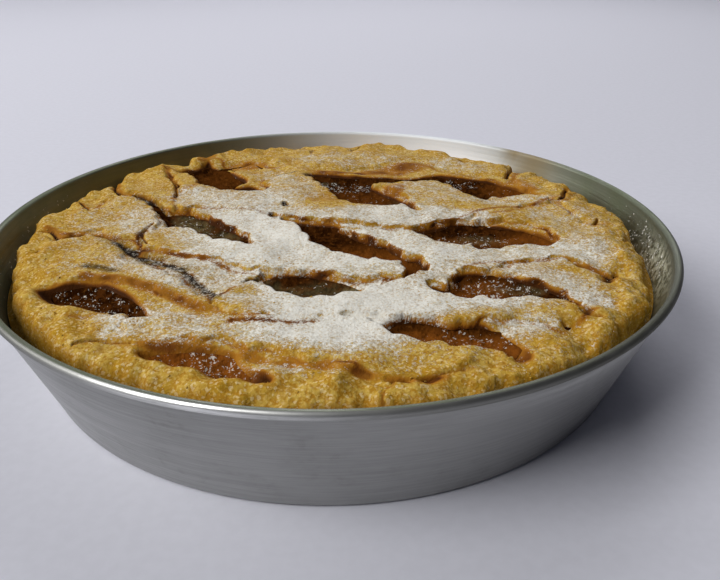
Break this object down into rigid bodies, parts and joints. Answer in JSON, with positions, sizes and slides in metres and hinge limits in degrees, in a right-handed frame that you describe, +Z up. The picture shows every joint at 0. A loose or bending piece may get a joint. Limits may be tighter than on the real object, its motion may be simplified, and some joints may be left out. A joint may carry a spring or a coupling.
{
  "type": "pastiera in its tin",
  "caption": "Round grain and ricotta tart with an uneven short-pastry lattice over its dark filling, whole, in its own sloping metal baking tin.",
  "frame": {"origin": "middle of the tin's underside, on the surface that the tin stands on", "axes": "+Z up out of the tin, +Y away from the side that the picture shows nearest, +X to the right"},
  "size_m": [0.2798, 0.2798, 0.0488],
  "materials": {
    "tin": "used aluminium, brushed round by turning, dull with slight stains",
    "crust": "baked short pastry, golden with browner slopes, dusted with icing sugar",
    "filling": "baked grain filling, dark brown and moist, grainy"
  },
  "bodies": {
    "root": {"tin": "tin", "crust": "crust", "filling": "filling"}
  },
  "joints": []
}
